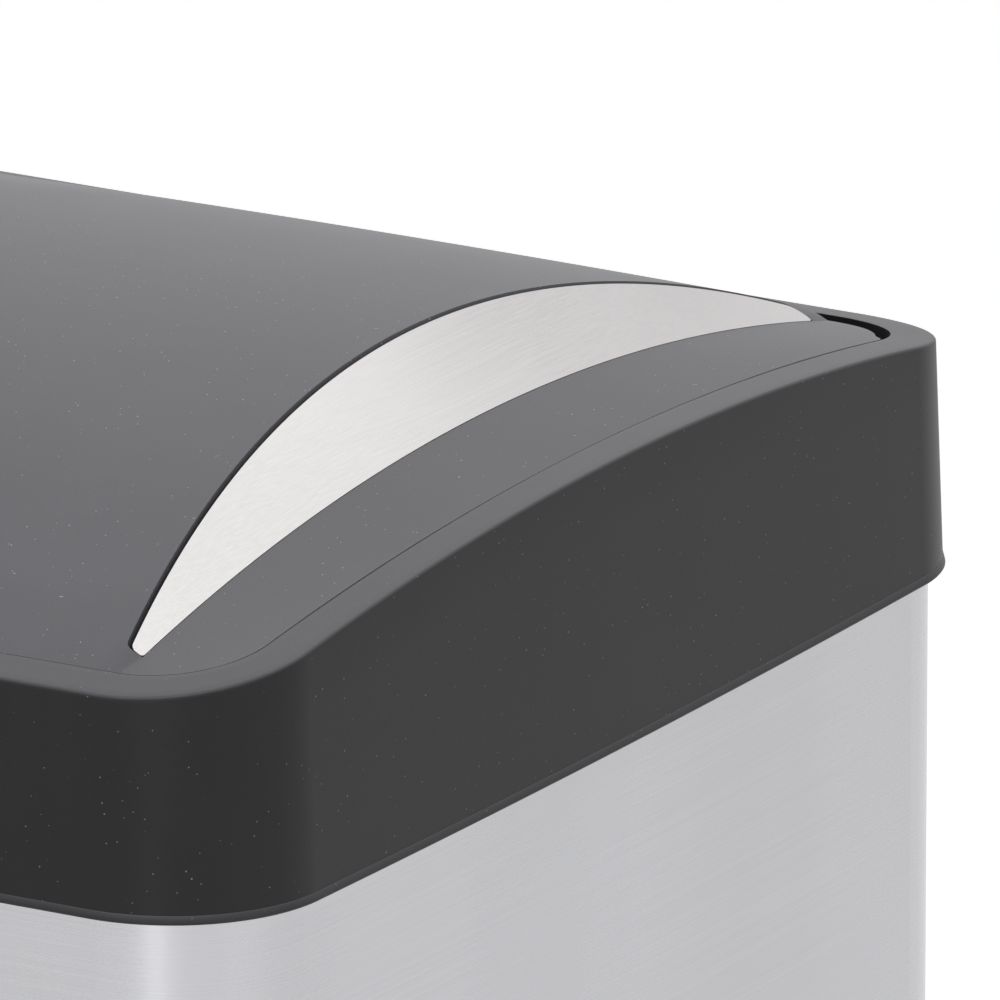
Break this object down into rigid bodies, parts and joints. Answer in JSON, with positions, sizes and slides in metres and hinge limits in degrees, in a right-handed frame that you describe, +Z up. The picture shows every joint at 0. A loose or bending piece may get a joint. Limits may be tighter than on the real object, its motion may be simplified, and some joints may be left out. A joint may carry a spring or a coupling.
{
  "type": "dual pedal recycling bin",
  "caption": "Free-standing recycling bin with side-by-side buckets in one brushed steel body, each under its own domed lid that a foot pedal lifts through a push rod.",
  "frame": {"origin": "on the floor below the middle of the whole footprint, pedals included", "axes": "+X to the user's right, +Y towards the back, +Z up; the pedals are at -Y"},
  "size_m": [0.594, 0.377, 0.6502],
  "materials": {
    "body_steel": "stainless sheet, brushed round the body, with a clear fingerprint-proof coat",
    "rim_plastic": "dark grey moulded plastic with a fine grain",
    "lid_plastic": "grey moulded plastic, satin",
    "crescent_steel": "stainless sheet, brushed front to back",
    "base_plastic": "dark grey moulded plastic",
    "foot_rubber": "black rubber",
    "rivet_steel": "plain blind rivets",
    "zinc_steel": "bright zinc plate",
    "liner_plastic": "dark grey moulded plastic",
    "arm_plastic": "black moulded acetal",
    "pin_steel": "ground steel pin",
    "buffer_rubber": "soft grey rubber",
    "rod_steel": "drawn steel rod, zinc plated",
    "guide_plastic": "dark grey extruded plastic",
    "damper_plastic": "grey acetal",
    "lever_steel": "folded steel, black powder coat",
    "pad_plastic": "dark grey moulded plastic",
    "tread_rubber": "black ribbed rubber",
    "bucket_plastic": "dark grey moulded polypropylene",
    "bail_steel": "bright plated wire",
    "grip_plastic": "black moulded plastic"
  },
  "bodies": {
    "root": {"outer_body": "body_steel", "base": "base_plastic", "feet": "foot_rubber", "rim": "rim_plastic", "body_rivets": "rivet_steel", "bracket_screws": "zinc_steel", "left_hinge_pins": "pin_steel", "left_lid_buffers": "buffer_rubber", "left_rod_guide": "guide_plastic", "left_damper_cylinder": "damper_plastic", "left_pivot_bracket": "zinc_steel", "left_pivot_pin": "pin_steel", "left_bucket": "bucket_plastic", "right_hinge_pins": "pin_steel", "right_lid_buffers": "buffer_rubber", "right_rod_guide": "guide_plastic", "right_damper_cylinder": "damper_plastic", "right_pivot_bracket": "zinc_steel", "right_pivot_pin": "pin_steel", "right_bucket": "bucket_plastic"},
    "left_lid": {"left_lid": "lid_plastic", "left_crescent": "crescent_steel", "left_lid_liner": "liner_plastic", "left_lid_arm": "arm_plastic", "left_arm_pin": "pin_steel", "left_arm_screws": "zinc_steel"},
    "left_rod": {"left_push_rod": "rod_steel", "left_rod_head": "arm_plastic", "left_damper_piston": "damper_plastic"},
    "left_pedal": {"left_pedal_lever": "lever_steel", "left_pedal_pad": "pad_plastic", "left_pedal_tread": "tread_rubber"},
    "left_bail": {"left_bail": "bail_steel", "left_bail_grip": "grip_plastic"},
    "right_lid": {"right_lid": "lid_plastic", "right_crescent": "crescent_steel", "right_lid_liner": "liner_plastic", "right_lid_arm": "arm_plastic", "right_arm_pin": "pin_steel", "right_arm_screws": "zinc_steel"},
    "right_rod": {"right_push_rod": "rod_steel", "right_rod_head": "arm_plastic", "right_damper_piston": "damper_plastic"},
    "right_pedal": {"right_pedal_lever": "lever_steel", "right_pedal_pad": "pad_plastic", "right_pedal_tread": "tread_rubber"},
    "right_bail": {"right_bail": "bail_steel", "right_bail_grip": "grip_plastic"}
  },
  "joints": [
    {"name": "left_lid_hinge", "type": "hinge", "parent": "root", "child": "left_lid", "pos_m": [-0.147, 0.1615, 0.6138], "axis": [-1, 0, 0], "range_deg": [0, 75]},
    {"name": "left_rod_slide", "type": "slide", "parent": "root", "child": "left_rod", "axis": [0, 0, 1], "range_m": [0, 0.0305]},
    {"name": "left_pedal_pivot", "type": "hinge", "parent": "root", "child": "left_pedal", "pos_m": [-0.147, -0.0395, 0.027], "axis": [1, 0, 0], "range_deg": [0, 9.8]},
    {"name": "left_bail_pivot", "type": "hinge", "parent": "root", "child": "left_bail", "pos_m": [-0.1415, 0.0015, 0.5938], "axis": [-1, 0, 0], "range_deg": [0, 8]},
    {"name": "right_lid_hinge", "type": "hinge", "parent": "root", "child": "right_lid", "pos_m": [0.147, 0.1615, 0.6138], "axis": [-1, 0, 0], "range_deg": [0, 75]},
    {"name": "right_rod_slide", "type": "slide", "parent": "root", "child": "right_rod", "axis": [0, 0, 1], "range_m": [0, 0.0305]},
    {"name": "right_pedal_pivot", "type": "hinge", "parent": "root", "child": "right_pedal", "pos_m": [0.147, -0.0395, 0.027], "axis": [1, 0, 0], "range_deg": [0, 9.8]},
    {"name": "right_bail_pivot", "type": "hinge", "parent": "root", "child": "right_bail", "pos_m": [0.1415, 0.0015, 0.5938], "axis": [-1, 0, 0], "range_deg": [0, 8]}
  ],
  "couplings": [
    {"joint": "left_rod_slide", "follows": "left_lid_hinge", "m_per_rad": 0.023253},
    {"joint": "left_pedal_pivot", "follows": "left_lid_hinge", "ratio": 0.13037},
    {"joint": "right_rod_slide", "follows": "right_lid_hinge", "m_per_rad": 0.023253},
    {"joint": "right_pedal_pivot", "follows": "right_lid_hinge", "ratio": 0.13037}
  ]
}
